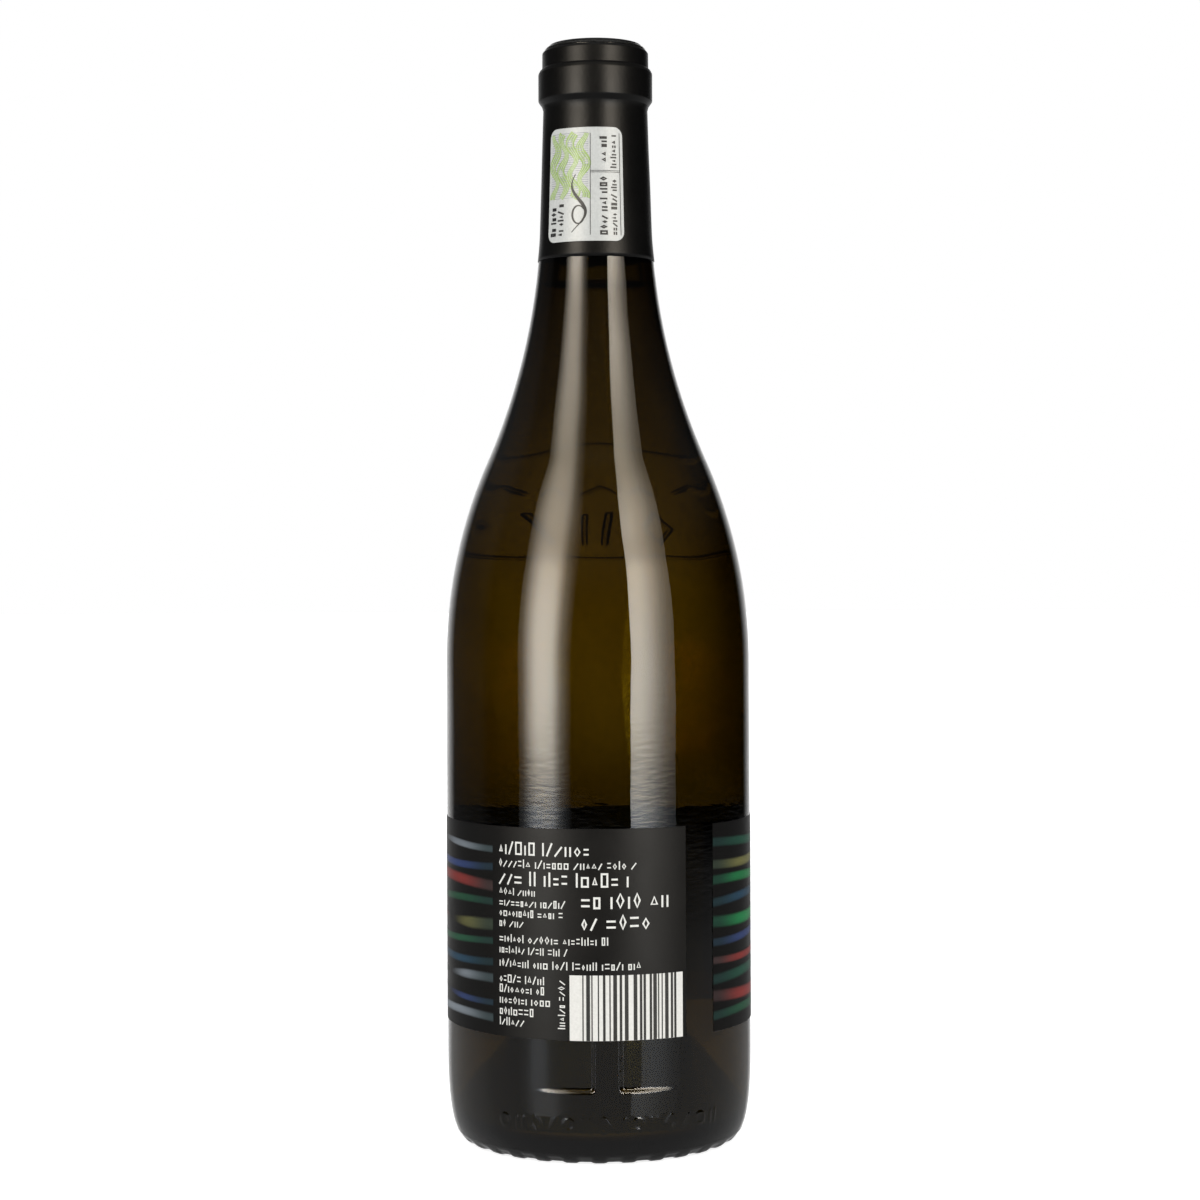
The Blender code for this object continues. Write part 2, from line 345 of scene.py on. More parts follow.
def ripple(phi, z, size, seed):
    """Slow unevenness of blown glass: a few waves that run round and up the bottle."""
    draw = np.random.default_rng(seed)
    total = np.zeros(np.broadcast(phi, z).shape)
    waves = 22
    for _ in range(waves):
        around = draw.integers(1, 11)
        length = draw.uniform(0.018, 0.110)
        phase = draw.uniform(0, tau)
        total += np.sin(around * phi + tau * z / length + phase)
    return total * size / sqrt(waves / 2)


def inside_ripple(phi, radius, z):
    """Unevenness of the bore, which fades out over the floor and near the axis."""
    return ripple(phi, z, INSIDE_RIPPLE, seed=9) * smooth(z, 0.004, 0.03) * smooth(radius, 0.004, 0.012)


def ridge(distance, half_width):
    """A round-topped ridge, 1 on its line and 0 past its half width."""
    return smooth(1 - np.abs(distance) / half_width)


def side_marks(across, z):
    """Two shallow sunk panels under the label, with a bar between them, that fade out sideways."""
    out = np.abs(across - MARK_CENTRE)
    in_from_side = out - MARK_CHANNEL
    in_from_foot = z - MARK_FOOT
    corner = MARK_CORNER - np.hypot(
        np.clip(MARK_CORNER - in_from_side, 0, None), np.clip(MARK_CORNER - in_from_foot, 0, None)
    )
    inside = np.where(
        (in_from_side < MARK_CORNER) & (in_from_foot < MARK_CORNER),
        corner,
        np.minimum(in_from_side, in_from_foot),
    )
    fade = 1 - smooth(out, MARK_CHANNEL + 0.1 * MARK_REACH, MARK_CHANNEL + MARK_REACH)
    return -MARK_DEPTH * smooth(inside, 0, MARK_BEVEL) * fade


def heel_row(across, z):
    """A row of plain shapes just above the heel: rings, pairs of bars, lozenges and slants in turn."""
    total = np.zeros(np.broadcast(across, z).shape)
    up = z - HEEL_ROW
    within = smooth(HEEL_ROW_HALF - np.abs(up), 0, 0.0006)
    for i, middle in enumerate(np.arange(HEEL_ROW_START, HEEL_ROW_END, HEEL_ROW_PITCH)):
        side = across - middle
        if i % 4 == 0:
            shape = ridge(np.hypot(side, up) - 0.0014, HEEL_STROKE)
        elif i % 4 == 1:
            shape = ridge(np.abs(side) - 0.0009, 0.0006) * within
        elif i % 4 == 2:
            shape = ridge(np.abs(side) + 0.75 * np.abs(up) - 0.0015, HEEL_STROKE)
        else:
            shape = ridge(side - 0.5 * up, HEEL_STROKE) * within
        total = np.maximum(total, shape)
    return HEEL_ROW_HEIGHT * total


def front_relief(phi, z):
    """Raised plain pattern on the front of the shoulder: a ring line, two rows of shapes and a wave."""
    across = ((phi - FRONT + pi) % tau - pi) * SHOULDER_RADIUS
    line = LINE_HALF_WIDTH
    ring = ridge(z - RING_LINE, 0.8 * line) * smooth(RING_LINE_REACH - np.abs(across), 0, 0.006)
    wave = ridge(z - (WAVE_LEVEL + WAVE_RISE * np.cos(across * tau / WAVE_LENGTH)), line)

    cell = np.floor((across + SHAPES_PITCH / 2) / SHAPES_PITCH)
    local = across - cell * SHAPES_PITCH
    up = z - SHAPES_LEVEL
    within = smooth(SHAPES_HALF - np.abs(up), 0, 0.0003)
    uprights = ridge(np.abs(local) - 0.0014, line) * within
    slant = ridge(local - 0.55 * up, 1.2 * line) * within
    lozenge = ridge(0.9 * np.abs(local) + 0.6 * np.abs(up) - 0.0023, line)
    shapes = np.where(cell % 3 == 0, uprights, np.where(cell % 3 == 1, slant, lozenge))

    local = (across + CHEVRONS_PITCH / 2) % CHEVRONS_PITCH - CHEVRONS_PITCH / 2
    chevrons = ridge(z - CHEVRONS_LEVEL + 0.8 * np.abs(local), line)
    chevrons = chevrons * smooth(CHEVRONS_HALF - np.abs(local), 0, 0.0003)
    ends = smooth(PATTERN_REACH - np.abs(across), 0, 0.003)
    pattern = np.maximum(np.maximum(wave, shapes), chevrons) * ends
    return LINE_HEIGHT * np.maximum(ring, pattern)


def knurls(phi, radius, z):
    """How far the glass falls back between the low bumps that the bottle stands on."""
    bump = smooth(0.5 + 0.5 * np.cos(KNURLS * phi), 0.25, 0.8)
    zone = smooth(radius, *KNURL_RADII) * (1 - smooth(z, *KNURL_HEIGHTS))
    return -KNURL_DEPTH * (1 - bump) * zone


def seams(phi, z):
    """The mould's parting lines: one round the heel, one up each side."""
    round_heel = ridge(z - SEAM_LEVEL, 0.0003)
    up_side = ridge((phi % pi - pi / 2) * BODY_RADIUS, 0.0004) * smooth(z, 0.004, 0.006)
    return SEAM_HEIGHT * np.maximum(round_heel, 0.5 * up_side)


def relief(phi, radius, z):
    """Height of everything that stands proud of the plain profile on the outside."""
    across = ((phi + pi) % tau - pi) * BODY_RADIUS
    above_heel = smooth(z, 0.002, 0.012) * smooth(CAPSULE_BOTTOM - z, 0, 0.01)
    total = ripple(phi, z, OUTSIDE_RIPPLE, seed=4) * above_heel
    total += side_marks(across, z) * (z < LABEL_BOTTOM + 0.001)
    total += heel_row(across, z)
    total += front_relief(phi, z)
    total += knurls(phi, radius, z)
    total += seams(phi, z)
    return total


# Mesh helpers

def add_object(name, points, faces, material):
    """A named, smoothly shaded mesh object."""
    mesh = bpy.data.meshes.new(name)
    mesh.from_pydata(np.asarray(points).tolist(), [], faces)
    mesh.materials.append(material)
    mesh.shade_smooth()
    mesh.update()
    piece = bpy.data.objects.new(name, mesh)
    bpy.context.scene.collection.objects.link(piece)
    return piece


def placed(phi, radius, z):
    """World points at an angle, a radius and a height."""
    phi, radius, z = np.broadcast_arrays(phi, radius, z)
    return np.stack([radius * np.sin(phi), -radius * np.cos(phi), z], axis=-1)


def turned(name, rings, first_pole, last_pole, material):
    """A closed skin over rings of points, with one point at each end on the axis."""
    rows, columns = rings.shape[:2]
    points = np.concatenate([rings.reshape(-1, 3), [first_pole], [last_pole]])
    index = np.arange(rows * columns).reshape(rows, columns)
    following = np.roll(index, -1, axis=1)
    quads = np.stack([index[:-1], index[1:], following[1:], following[:-1]], axis=-1).reshape(-1, 4)
    start = np.stack([np.full(columns, rows * columns), index[0], following[0]], axis=-1)
    end = np.stack([np.full(columns, rows * columns + 1), following[-1], index[-1]], axis=-1)
    return add_object(name, points, quads.tolist() + start.tolist() + end.tolist(), material)


def full_turn(columns):
    """Even angles round the bottle, as one row."""
    return np.linspace(0, tau, columns + 1)[None, :-1]


def bottle_columns():
    """Angles of the glass mesh: close together where there is relief, wide apart elsewhere."""
    stops = [radians(stop) for stop in COLUMN_STOPS]
    spacings = (FINE / BODY_RADIUS, PLAIN_TURN) * 2
    return np.concatenate([spaced(*run)[:-1] for run in zip(stops, stops[1:], spacings)])


# Nodes. Each is added near something: a material, light or world, or a node or socket of one

def material_of(name, **values):
    """A new material with a Principled shader and its fixed values."""
    material = bpy.data.materials.new(name)
    material.use_nodes = True
    shader = material.node_tree.nodes["Principled BSDF"]
    for socket, value in values.items():
        feed(shader, socket.replace("_", " "), value)
    return material, shader


def feed(made, socket, value):
    """Gives an input of a node a link or a fixed value."""
    if isinstance(value, bpy.types.NodeSocket):
        made.id_data.links.new(value, made.inputs[socket])
    else:
        made.inputs[socket].default_value = value


def node(near, kind, values=None, **settings):
    """A node with its settings and the values of its inputs."""
    made = getattr(near, "node_tree", near.id_data).nodes.new(kind)
    for setting, value in settings.items():
        setattr(made, setting, value)
    for socket, value in (values or {}).items():
        feed(made, socket, value)
    return made


def coordinates(near, output, kind="ShaderNodeTexCoord"):
    """The X, Y and Z of a place."""
    return node(near, "ShaderNodeSeparateXYZ", {"Vector": node(near, kind).outputs[output]}).outputs


def noise(near, scale, detail, stretch=(1, 1, 1)):
    """The value of a noise laid out in the object's own space."""
    place = node(near, "ShaderNodeTexCoord").outputs["Object"]
    mapping = node(near, "ShaderNodeMapping", {"Vector": place, "Scale": stretch})
    values = {"Vector": mapping.outputs["Vector"], "Scale": scale, "Detail": detail}
    return node(near, "ShaderNodeTexNoise", values).outputs["Fac"]


def bumped(shader, height, distance, strength=1.0):
    """Small surface unevenness from a height value."""
    values = {"Height": height, "Distance": distance, "Strength": strength}
    feed(shader, "Normal", node(shader, "ShaderNodeBump", values).outputs["Normal"])


def ranged(value, first, last, to=(0.0, 1.0), easing="LINEAR"):
    """A value that goes between two numbers while its input goes from first to last."""
    values = {"Value": value, "From Min": first, "From Max": last, "To Min": to[0], "To Max": to[1]}
    return node(value, "ShaderNodeMapRange", values, interpolation_type=easing).outputs["Result"]


def eased(value, first, last, to):
    """The same with a soft start and a soft end."""
    return ranged(value, first, last, to, "SMOOTHSTEP")


def combined(operation, first, *others, **settings):
    """Values added, multiplied or compared, one after another. Those after the first may be numbers."""
    for other in others:
        maths = node(first, "ShaderNodeMath", {0: first, 1: other}, operation=operation, **settings)
        first = maths.outputs["Value"]
    return first


def stepped_ramp(place, stops):
    """A ramp over a light's width or height. Each stop is a place with a brightness or a colour."""
    ramp = node(place, "ShaderNodeValToRGB", {"Fac": place})
    elements = ramp.color_ramp.elements
    while len(elements) < len(stops):
        elements.new(0.5)
    for element, (position, shade) in zip(elements, stops):
        element.position = position
        element.color = (*np.broadcast_to(shade, 3), 1)
    return ramp.outputs["Color"]


# Numbers of a mix node's sockets for colours
MIX_SHARE, MIX_FIRST, MIX_SECOND, MIX_RESULT = 0, 6, 7, 2


def two_tone(shader, value, first, second):
    """The base colour runs from the first colour to the second as the value runs from 0 to 1."""
    values = {MIX_SHARE: value, MIX_FIRST: (*first, 1), MIX_SECOND: (*second, 1)}
    mix = node(shader, "ShaderNodeMix", values, data_type="RGBA")
    feed(shader, "Base Color", mix.outputs[MIX_RESULT])


# Materials
GLASS_TINT, GLASS_DENSITY = (0.594, 0.542, 0.117), 1200
WINE_TINT, WINE_DENSITY = (0.905, 0.58, 0.12), 10
NECK_HEIGHTS, NECK_ROUGHNESS = (0.190, 0.225), 0.05
WRINKLES_START, WRINKLES_END = (0.055, 0.085), (0.105, 0.150)
WRINKLE_DEPTH, FOIL_GRAIN, PAPER_GRAIN = 0.000018, 0.00003, 0.000015
FOIL_TONES = (0.0012, 0.0012, 0.0012), (0.0030, 0.0029, 0.0028)
FOIL_GLOSS = (0.31, 0.38)
LABEL_BLACK = (0.0015, 0.0014, 0.0013)
LABEL_GLOSS, REAR_GLOSS, STICKER_GLOSS = (0.38, 0.46), (0.5, 0.6), (0.35, 0.45)
# Papers and inks: two tones that the grain runs between, and the range of roughness
PAPERS = {
    "label_paper": (LABEL_BLACK, (0.0026, 0.0024, 0.0022), LABEL_GLOSS),
    "print_pale": ((0.66, 0.66, 0.62), (0.78, 0.78, 0.74), REAR_GLOSS),
    "code_panel": ((0.68, 0.67, 0.63), (0.76, 0.75, 0.71), REAR_GLOSS),
    "code_ink": ((0.012, 0.012, 0.012), (0.02, 0.02, 0.02), REAR_GLOSS),
    "sticker_paper": ((0.49, 0.50, 0.48), (0.56, 0.57, 0.55), STICKER_GLOSS),
    "hatch_grey": ((0.26, 0.26, 0.29), (0.34, 0.34, 0.37), STICKER_GLOSS),
    "wave_green": ((0.25, 0.37, 0.10), (0.34, 0.46, 0.16), STICKER_GLOSS),
    "vein_pale": ((0.50, 0.56, 0.40), (0.58, 0.64, 0.48), STICKER_GLOSS),
    "print_dark": ((0.012, 0.012, 0.013), (0.022, 0.022, 0.024), STICKER_GLOSS),
}


def clear_material(name, ior, colour, density):
    """Glass or liquid that takes light off with depth."""
    material, shader = material_of(
        name, IOR=ior, Base_Color=(1, 1, 1, 1), Roughness=0.0, Transmission_Weight=1.0
    )
    volume = node(material, "ShaderNodeVolumeAbsorption", {"Color": (*colour, 1), "Density": density})
    feed(material.node_tree.nodes["Material Output"], "Volume", volume.outputs["Volume"])
    return material, shader


def glass_material():
    """Dark olive glass, a little rough in the neck, with fine wrinkles above the label."""
    material, shader = clear_material("bottle_glass", 1.52, GLASS_TINT, GLASS_DENSITY)
    z = coordinates(material, "Object")["Z"]
    feed(shader, "Roughness", ranged(z, *NECK_HEIGHTS, (0.0, NECK_ROUGHNESS)))
    zone = combined("MULTIPLY", ranged(z, *WRINKLES_START), ranged(z, *WRINKLES_END, (1.0, 0.0)))
    bumped(shader, noise(material, 420, 1, stretch=(0.6, 0.6, 2.4)), WRINKLE_DEPTH, zone)
    return material


def capsule_material():
    """Satin black foil with a fine grain."""
    material, shader = material_of("capsule_foil", Specular_IOR_Level=0.22)
    grain = noise(material, 900, 4)
    two_tone(shader, grain, *FOIL_TONES)
    feed(shader, "Roughness", ranged(noise(material, 70, 2), 0.3, 0.7, FOIL_GLOSS))
    bumped(shader, grain, FOIL_GRAIN)
    return material


def paper_material(name, specular=0.4):
    """Printed paper: a fine fibre grain in colour, gloss and height."""
    dark, pale, gloss = PAPERS[name]
    material, shader = material_of(name, Specular_IOR_Level=specular)
    grain = noise(material, 1500, 4)
    two_tone(shader, ranged(grain, 0.3, 0.7), dark, pale)
    feed(shader, "Roughness", ranged(noise(material, 120, 3), 0.3, 0.7, gloss))
    bumped(shader, grain, PAPER_GRAIN)
    return material


def band_material():
    """Ink whose colour runs along and across each band, with faint streaks."""
    material, shader = material_of("band_ink", Roughness=0.42, Specular_IOR_Level=0.24)
    tint = node(material, "ShaderNodeAttribute", attribute_name="tint").outputs["Color"]
    streak = ranged(noise(material, 60, 3, stretch=(0.5, 0.5, 3.0)), 0.35, 0.65, (1.0, 0.7))
    dimmed = node(material, "ShaderNodeVectorMath", {0: tint, "Scale": streak}, operation="SCALE")
    feed(shader, "Base Color", dimmed.outputs["Vector"])
    bumped(shader, noise(material, 1500, 4), PAPER_GRAIN)
    return material


# Thin printed pieces

def sheet_faces(rows, columns):
    """Faces of a thin closed sheet over a grid of points for its front, then one for its back."""
    front = np.arange(rows * columns).reshape(rows, columns)
    back = front + rows * columns
    edge = np.concatenate([front[0, :-1], front[:-1, -1], front[-1, :0:-1], front[:0:-1, 0]])
    beyond = np.roll(edge, -1)
    walls = np.stack([edge, edge + rows * columns, beyond + rows * columns, beyond], -1)
    over = np.stack([front[:-1, :-1], front[:-1, 1:], front[1:, 1:], front[1:, :-1]], -1)
    under = np.stack([back[:-1, :-1], back[1:, :-1], back[1:, 1:], back[:-1, 1:]], -1)
    return np.concatenate([over.reshape(-1, 4), under.reshape(-1, 4), walls])


# Plain marks: shares of a line's height, and the share of the marks that are tall
MARK_GAP, GROUP_GAP = 0.22, 0.40
SHORT_MARK, TALL_MARKS = 0.74, 0.35


class Print:
    """Thin closed patches of ink on a paper, laid out in metres round the bottle and up it."""

    def __init__(self, surface, lift=INK):
        self.surface = surface
        self.lift = lift
        self.count = 0
        self.points = []
        self.faces = []
        self.colours = []

    def patch(self, across, z, colours=(0.0, 0.0, 0.0)):
        """A patch over a grid of places. Its columns run to the right and its rows upwards."""
        across, z = np.broadcast_arrays(across, z)
        rows, columns = z.shape
        for lift in (self.lift, -INK):
            self.points.append(self.surface(across, z, lift).reshape(-1, 3))
            self.colours.append(np.broadcast_to(colours, (rows, columns, 3)).reshape(-1, 3))
        self.faces.append(sheet_faces(rows, columns) + self.count)
        self.count += 2 * rows * columns

    def block(self, left, right, low, high):
        self.patch(spaced(left, right, 0.0008)[None, :], spaced(low, high, 0.0020)[:, None])

    def stroke(self, path, width):
        """A line along a path, of one width or of a width for each place."""
        path = np.asarray(path, float)
        side = normals(path) * np.reshape(width, (-1, 1)) / 2
        self.patch(*np.stack([path - side, path + side]).transpose(2, 0, 1))

    def mark(self, corner, axes, kind, width, height, stroke):
        """One plain mark: an upright, a slant, a pair of dashes, a lozenge, a box or a wedge."""
        def at(points):
            return corner + np.asarray(points) @ axes

        if kind < 3:
            self.stroke(at([(width / 2, 0), (width / 2, height)]), stroke)
        elif kind == 3:
            self.stroke(at([(0, 0), (width, height)]), stroke)
        elif kind == 4:
            for up in (0.25 * height, 0.75 * height):
                self.stroke(at([(0, up), (width, up)]), stroke)
        else:
            corners, turn = ((4, 0), (4, pi / 4), (3, pi / 2))[kind - 5]
            angles = turn + np.linspace(0, tau, corners + 1)
            outline = np.column_stack([np.cos(angles), np.sin(angles)])
            outline /= np.abs(outline).max(axis=0)
            middle = np.array([width, height]) / 2
            rows = [at(middle + outline * (middle - inset)) for inset in (0, stroke)]
            self.patch(*np.stack(rows).transpose(2, 0, 1))

    def marks(self, draw, start, length, height, upwards=False, weight=1.0):
        """A line of plain marks in groups, as fine as print. It runs to the right, or up the paper."""
        axes = np.array([[0.0, 1.0], [-1.0, 0.0]] if upwards else [[1.0, 0.0], [0.0, 1.0]])
        stroke = weight * (0.11 * height + 0.00008)
        place = 0.0
        while True:
            for _ in range(draw.integers(2, 10)):
                kind = draw.integers(8)
                width = stroke if kind < 3 else height * draw.uniform(0.35, 0.60)
                tall = height * (1.0 if draw.random() < TALL_MARKS else SHORT_MARK)
                if place + width > length:
                    return
                self.mark(start + place * axes[0], axes, kind, width, tall, stroke)
                place += width + MARK_GAP * height
            place += GROUP_GAP * height

    def made(self, name, material, slot):
        """The piece. It rides with the bottle. Its slot argument is not used."""
        piece = add_object(name, np.concatenate(self.points), np.concatenate(self.faces).tolist(), material)
        piece.data.shade_flat()
        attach(piece, "root")
        return piece


def on_label(across, z, lift):
    """Points on the label, by their distance round the body from the middle of the rear."""
    return placed(across / BODY_RADIUS, BODY_RADIUS + LABEL_PROUD + lift, z)


STICKER_RADIUS = float(capsule_radius((STICKER_BOTTOM + STICKER_TOP) / 2))


def on_sticker(across, z, lift):
    """Points on the capsule's sticker, by their distance round the neck."""
    return placed(across / STICKER_RADIUS, capsule_radius(z) + STICKER_PROUD + lift, z)


# Pieces

def make_glass():
    phi = bottle_columns()[None, :]
    outside = outside_line()
    inside = inside_line()[::-1]
    out = normals(outside)[:-1]
    radius, z = outside[:-1, :1], outside[:-1, 1:]
    rise = relief(phi, radius, z)
    outer = placed(phi, radius + out[:, :1] * rise, z + out[:, 1:] * rise)
    radius, z = inside[1:-1, :1], inside[1:-1, 1:]
    inner = placed(phi, radius + inside_ripple(phi, radius, z), z)
    rings = np.concatenate([inner, outer])
    poles = (0, 0, inside[0, 1]), (0, 0, outside[-1, 1])
    glass = turned("bottle_body", rings, *poles, glass_material())
    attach(glass, "root")
    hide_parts("bottle")


def make_wine():
    line = shifted(inside_line(), WINE_INTO_WALL)
    line = line[line[:, 1] < WINE_LEVEL + MENISCUS]
    line[-1, 0] = 0
    rim = line[0, 0]
    inward = spaced(rim, 0.001, 0.0004)
    creep = np.exp(-(rim - WINE_INTO_WALL - inward).clip(0) / MENISCUS_REACH)
    surface = np.column_stack([inward[::-1], (WINE_LEVEL + MENISCUS * creep)[::-1]])
    line = joined(surface, line)
    phi = full_turn(WINE_COLUMNS)
    radius, z = line[:-1, :1], line[:-1, 1:]
    rings = placed(phi, radius + inside_ripple(phi, radius, z) * (z < WINE_LEVEL), z)
    straw = clear_material("wine_liquid", 1.34, WINE_TINT, WINE_DENSITY)[0]
    wine = turned("wine_fill", rings, (0, 0, WINE_LEVEL), (0, 0, line[-1, 1]), straw)
    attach(wine, "root")
    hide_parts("wine")


def make_capsule():
    band = BAND_RADIUS + CAPSULE_OVER_MOUTH
    ring = RING_RADIUS + CAPSULE_OVER_MOUTH
    skirt_top = RING_FOOT - 0.0010
    crown = [
        (0.001, HEIGHT - TOP_SUNK, 0),
        (DISC_RADIUS, HEIGHT - TOP_SUNK, 0.0004),
        (RIM_INNER, HEIGHT, 0.0003),
        (RIM_OUTER, HEIGHT, 0.0004),
        (band, HEIGHT - RIM_DROP, 0.0006),
        (band, BAND_BOTTOM + 0.0004, 0.0003),
        (band + FOIL_FOLD, BAND_BOTTOM - 0.0001, 0.0002),
        (ring, RING_TOP - 0.0002, 0.0007),
        (ring, RING_BOTTOM + 0.0004, 0.0010),
        (ring - 0.0010, RING_FOOT + 0.0002, 0.0006),
        (float(capsule_radius(skirt_top)), skirt_top, 0),
    ]
    heights = spaced(skirt_top, CAPSULE_BOTTOM, 0.0012)
    skirt = np.column_stack([capsule_radius(heights), heights])
    outer = joined(rounded(crown, steps=5), skirt)
    inner = shifted(outer, -CAPSULE_FOIL)[::-1]
    inner[0, 1] = CAPSULE_BOTTOM
    line = joined(outer, inner)
    phi = full_turn(CAPSULE_COLUMNS)
    radius, z = line[:, :1], line[:, 1:]
    uneven = ripple(phi, z, FOIL_RIPPLE, seed=17) * smooth(HEIGHT - z, 0.002, 0.004)
    rings = placed(phi, radius + uneven, z)
    top = (0, 0, HEIGHT - TOP_SUNK)
    under = (0, 0, HEIGHT - TOP_SUNK - CAPSULE_FOIL)
    capsule = turned("neck_capsule", rings, top, under, capsule_material())
    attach(capsule, "root")
    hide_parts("capsule")


def make_label():
    angles = spaced(LABEL_START, LABEL_END, radians(1.2))
    inner = BODY_RADIUS - PAPER_INTO_GLASS
    outer = BODY_RADIUS + LABEL_PROUD
    section = [
        (inner, LABEL_BOTTOM),
        (outer - LABEL_EDGE, LABEL_BOTTOM),
        (outer, LABEL_BOTTOM + LABEL_EDGE),
        (outer, LABEL_TOP - LABEL_EDGE),
        (outer - LABEL_EDGE, LABEL_TOP),
        (inner, LABEL_TOP),
    ]
    rows = np.stack([placed(angles, radius, z) for radius, z in section])
    index = np.arange(len(section) * len(angles)).reshape(len(section), -1)
    following = np.roll(index, -1, axis=0)
    sides = np.stack([index[:, :-1], index[:, 1:], following[:, 1:], following[:, :-1]], axis=-1)
    faces = sides.reshape(-1, 4).tolist() + [index[:, 0].tolist(), index[::-1, -1].tolist()]
    paper = paper_material("label_paper", specular=0.24)
    label = add_object("label_sheet", rows.reshape(-1, 3), faces, paper)
    label.data.set_sharp_from_angle(angle=radians(30))
    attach(label, "root")
    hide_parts("wrap_label")


def make_sticker():
    corner = STICKER_BOTTOM + STICKER_CORNER * (1 - np.cos(np.linspace(0, pi / 2, 7)))
    flip = STICKER_BOTTOM + STICKER_TOP
    between = spaced(corner[-1], flip - corner[-1], 0.001)[1:-1]
    heights = np.concatenate([corner, between, flip - corner[::-1]])
    straight = (STICKER_TOP - STICKER_BOTTOM) / 2 - STICKER_CORNER
    past = np.clip(np.abs(heights - flip / 2) - straight, 0, None)
    inset = STICKER_CORNER - np.sqrt(np.clip(STICKER_CORNER**2 - past**2, 0, None))
    left = STICKER_LEFT + inset / STICKER_RADIUS
    right = STICKER_RIGHT - inset / STICKER_RADIUS
    share = np.linspace(0, 1, 33)[None, :]
    angles = left[:, None] + (right - left)[:, None] * share
    radius = capsule_radius(heights)[:, None]
    front = placed(angles, radius + STICKER_PROUD, heights[:, None])
    back = placed(angles, radius - STICKER_INTO_FOIL, heights[:, None])
    faces = sheet_faces(*angles.shape).tolist()
    points = np.concatenate([front.reshape(-1, 3), back.reshape(-1, 3)])
    sticker = add_object("sticker_sheet", points, faces, paper_material("sticker_paper"))
    sticker.data.set_sharp_from_angle(angle=radians(30))
    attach(sticker, "root")
    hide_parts("neck_sticker")


# Rear panel: lines of plain marks, as (right end, middle height, height of the marks), in metres
REAR_LEFT = -0.0278
REAR_LINES = [
    (0.0000, 0.0818, 0.0034), (0.0103, 0.0779, 0.0022), (0.0103, 0.0741, 0.0037),
    (-0.0166, 0.0705, 0.0019), (-0.0079, 0.0677, 0.0020), (-0.0088, 0.0650, 0.0020),
    (-0.0201, 0.0623, 0.0020), (0.0027, 0.0584, 0.0021), (-0.0077, 0.0554, 0.0019),
    (0.0116, 0.0520, 0.0021), (-0.0136, 0.0479, 0.0021), (-0.0136, 0.0453, 0.0021),
    (-0.0115, 0.0424, 0.0021), (-0.0169, 0.0395, 0.0021), (-0.0186, 0.0368, 0.0021),
]
LARGE_LEFT, LARGE_HEIGHT = -0.0045, 0.00415
LARGE_LINES = [(0.0208, 0.0688), (0.0159, 0.0633)]
CODE_LEFT, CODE_RIGHT, CODE_TOP = -0.0076, 0.0227, 0.0497
CODE_STEP = 0.00033
CODE_BARS_LEFT, CODE_BARS_RIGHT = CODE_LEFT + 0.0033, CODE_RIGHT - 0.0022
SIDE_MARKS_FOOT, SIDE_MARKS_HEIGHT = -0.0088, 0.0019


def make_rear_print():
    """Pale lines of plain marks beside a panel of bars."""
    draw = np.random.default_rng(31)
    pale = Print(on_label)
    for right, middle, height in REAR_LINES:
        pale.marks(draw, (REAR_LEFT, middle - height / 2), right - REAR_LEFT, height)
    for right, middle in LARGE_LINES:
        pale.marks(draw, (LARGE_LEFT, middle - LARGE_HEIGHT / 2), right - LARGE_LEFT, LARGE_HEIGHT)
    foot = LABEL_BOTTOM + 0.003
    pale.marks(draw, (SIDE_MARKS_FOOT, foot), CODE_TOP - foot, SIDE_MARKS_HEIGHT, upwards=True)
    pale.made("rear_lines", paper_material("print_pale"), "label_paper")

    panel = Print(on_label)
    panel.block(CODE_LEFT, CODE_RIGHT, LABEL_BOTTOM + 0.00008, CODE_TOP)
    panel.made("code_field", paper_material("code_panel"), "label_paper")

    bars = Print(on_label, 2 * INK)
    across = CODE_BARS_LEFT
    while across < CODE_BARS_RIGHT:
        width = CODE_STEP * draw.integers(1, 4)
        bars.block(across, across + width, LABEL_BOTTOM + 0.0001, CODE_TOP)
        across += width + CODE_STEP * draw.integers(1, 5)
    bars.made("code_bars", paper_material("code_ink"), "label_paper")


# Soft bands of colour round the front: the bright colours, and the dull one that they run into
BAND_COLOURS = [
    (0.010, 0.075, 0.034), (0.230, 0.022, 0.018), (0.022, 0.042, 0.140), (0.006, 0.200, 0.055),
    (0.150, 0.145, 0.042), (0.009, 0.068, 0.040), (0.200, 0.230, 0.260), (0.012, 0.050, 0.090),
]
BAND_DULL = (0.008, 0.024, 0.024)
BAND_COUNT = 10
BAND_FIRST, BAND_PITCH = 0.0368, 0.0050
BAND_SWAY, BAND_WAVE = 0.0007, 0.013
BAND_LENGTHS, BAND_SHORTEST = (0.035, 0.080), 0.020
BAND_HEIGHTS = (0.0018, 0.0036)
BAND_GAP, BAND_FADE = 0.002, 0.014
# Across a band: places in half heights, and how strong the colour is there
BAND_PLACES, BAND_STRENGTHS = (-1.0, -0.6, 0.0, 0.6, 1.0), (0.0, 0.85, 1.0, 0.85, 0.0)
REAR_EDGE = radians(360 - 42) * BODY_RADIUS


